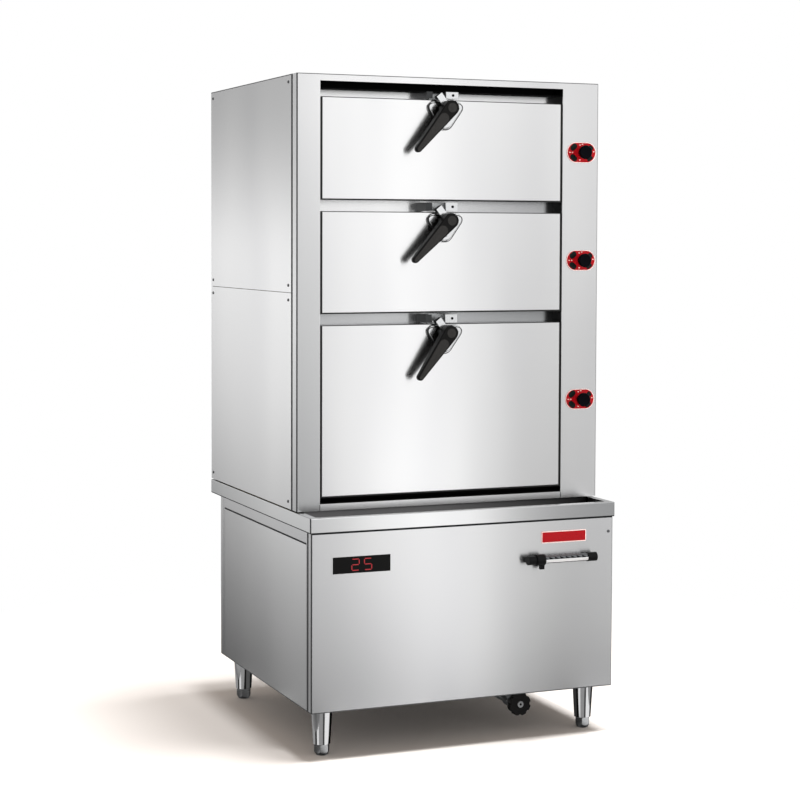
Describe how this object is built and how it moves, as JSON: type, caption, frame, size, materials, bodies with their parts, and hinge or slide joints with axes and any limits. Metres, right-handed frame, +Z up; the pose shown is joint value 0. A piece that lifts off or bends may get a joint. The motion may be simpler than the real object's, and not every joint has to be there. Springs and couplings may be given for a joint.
{
  "type": "steam cabinet",
  "caption": "Floor-standing stainless steam cabinet: drop-down insulated doors with lever latches, stacked steam chambers, steam valves, and a boiler base on adjustable legs.",
  "frame": {"origin": "on the floor, below the middle of the whole outline", "axes": "+X to the cabinet's right as seen from the front, +Y towards its back, +Z up; the doors face -Y"},
  "size_m": [0.9144, 0.9342, 1.836],
  "materials": {
    "black_channel": "satin",
    "black_plastic": "matte",
    "coil": "satin",
    "display": "gloss",
    "door_steel": "satin",
    "fan": "matte",
    "float": "satin",
    "insulation": "matte",
    "liner_steel": "satin",
    "module": "satin",
    "polished_steel": "polished",
    "red_plastic": "satin",
    "seal": "matte",
    "stainless_sheet": "satin"
  },
  "bodies": {
    "cabinet": {"base_frame": "stainless_sheet", "base_front_panel": "stainless_sheet", "base_side_panels": "stainless_sheet", "back_panels": "stainless_sheet", "worktop": "stainless_sheet", "front_frame": "stainless_sheet", "chest_side_panels": "stainless_sheet", "chest_top_panel": "stainless_sheet", "slot_liners": "black_channel", "chamber_insulation": "insulation", "crossbars": "stainless_sheet", "racks": "liner_steel", "steam_riser": "liner_steel", "hinge_pins": "polished_steel", "latch_strikes": "polished_steel", "front_labels": "red_plastic", "top_chamber_liner": "liner_steel", "middle_chamber_liner": "liner_steel", "bottom_chamber_liner": "liner_steel", "water_tank": "liner_steel", "induction_coil": "coil", "power_module": "module", "feed_water_box": "liner_steel", "display_window": "display", "power_rail": "polished_steel", "rail_brackets": "black_plastic", "leg_tubes": "polished_steel", "screws": "polished_steel"},
    "top_door": {"top_door_skin": "door_steel", "top_door_inner_pan": "liner_steel", "top_door_core": "insulation", "top_door_seal": "seal", "top_latch_plate": "polished_steel"},
    "middle_door": {"middle_door_skin": "door_steel", "middle_door_inner_pan": "liner_steel", "middle_door_core": "insulation", "middle_door_seal": "seal", "middle_latch_plate": "polished_steel"},
    "bottom_door": {"bottom_door_skin": "door_steel", "bottom_door_inner_pan": "liner_steel", "bottom_door_core": "insulation", "bottom_door_seal": "seal", "bottom_latch_plate": "polished_steel"},
    "top_latch": {"top_latch_lever": "black_plastic", "top_latch_tongue": "polished_steel"},
    "middle_latch": {"middle_latch_lever": "black_plastic", "middle_latch_tongue": "polished_steel"},
    "bottom_latch": {"bottom_latch_lever": "black_plastic", "bottom_latch_tongue": "polished_steel"},
    "top_valve": {"top_valve_knob": "black_plastic"},
    "middle_valve": {"middle_valve_knob": "black_plastic"},
    "bottom_valve": {"bottom_valve_knob": "black_plastic"},
    "power_control": {"power_slider": "black_plastic"},
    "drain_wheel": {"drain_hand_wheel": "black_plastic"},
    "fan": {"fan_rotor": "fan"},
    "float": {"float_arm": "float"},
    "front_left_leveller": {"front_left_foot": "polished_steel"},
    "front_right_leveller": {"front_right_foot": "polished_steel"},
    "back_left_leveller": {"back_left_foot": "polished_steel"},
    "back_right_leveller": {"back_right_foot": "polished_steel"}
  },
  "joints": [
    {"name": "top_door_hinge", "type": "hinge", "parent": "cabinet", "child": "top_door", "pos_m": [-0.0235, -0.3111, 1.5105], "axis": [1, 0, 0], "range_deg": [0, 90]},
    {"name": "middle_door_hinge", "type": "hinge", "parent": "cabinet", "child": "middle_door", "pos_m": [-0.0235, -0.3111, 1.202], "axis": [1, 0, 0], "range_deg": [0, 90]},
    {"name": "bottom_door_hinge", "type": "hinge", "parent": "cabinet", "child": "bottom_door", "pos_m": [-0.0235, -0.3111, 0.7025], "axis": [1, 0, 0], "range_deg": [0, 90]},
    {"name": "top_latch_pivot", "type": "hinge", "parent": "top_door", "child": "top_latch", "pos_m": [-0.0235, -0.3211, 1.7515], "axis": [0, -1, 0], "range_deg": [0, 75]},
    {"name": "middle_latch_pivot", "type": "hinge", "parent": "middle_door", "child": "middle_latch", "pos_m": [-0.0235, -0.3211, 1.443], "axis": [0, -1, 0], "range_deg": [0, 75]},
    {"name": "bottom_latch_pivot", "type": "hinge", "parent": "bottom_door", "child": "bottom_latch", "pos_m": [-0.0235, -0.3211, 1.1345], "axis": [0, -1, 0], "range_deg": [0, 75]},
    {"name": "top_valve_turn", "type": "hinge", "parent": "cabinet", "child": "top_valve", "pos_m": [0.4015, -0.3221, 1.6395], "axis": [0, -1, 0], "range_deg": [0, 90]},
    {"name": "middle_valve_turn", "type": "hinge", "parent": "cabinet", "child": "middle_valve", "pos_m": [0.4015, -0.3221, 1.333], "axis": [0, -1, 0], "range_deg": [0, 90]},
    {"name": "bottom_valve_turn", "type": "hinge", "parent": "cabinet", "child": "bottom_valve", "pos_m": [0.4015, -0.3221, 0.9365], "axis": [0, -1, 0], "range_deg": [0, 90]},
    {"name": "power_slide", "type": "slide", "parent": "cabinet", "child": "power_control", "axis": [1, 0, 0], "range_m": [0, 0.1342]},
    {"name": "drain_turn", "type": "hinge", "parent": "cabinet", "child": "drain_wheel", "pos_m": [0.212, -0.3221, 0.075], "axis": [0, -1, 0], "range_deg": [0, 720]},
    {"name": "fan_spin", "type": "hinge", "parent": "cabinet", "child": "fan", "pos_m": [-0.27, 0.3259, 0.2765], "axis": [0, 1, 0], "continuous": true},
    {"name": "float_pivot", "type": "hinge", "parent": "cabinet", "child": "float", "pos_m": [0.23, 0.3599, 0.4555], "axis": [-1, 0, 0], "range_deg": [0, 35]},
    {"name": "front_left_level", "type": "slide", "parent": "cabinet", "child": "front_left_leveller", "axis": [0, 0, -1], "range_m": [0, 0.025]},
    {"name": "front_right_level", "type": "slide", "parent": "cabinet", "child": "front_right_leveller", "axis": [0, 0, -1], "range_m": [0, 0.025]},
    {"name": "back_left_level", "type": "slide", "parent": "cabinet", "child": "back_left_leveller", "axis": [0, 0, -1], "range_m": [0, 0.025]},
    {"name": "back_right_level", "type": "slide", "parent": "cabinet", "child": "back_right_leveller", "axis": [0, 0, -1], "range_m": [0, 0.025]}
  ]
}
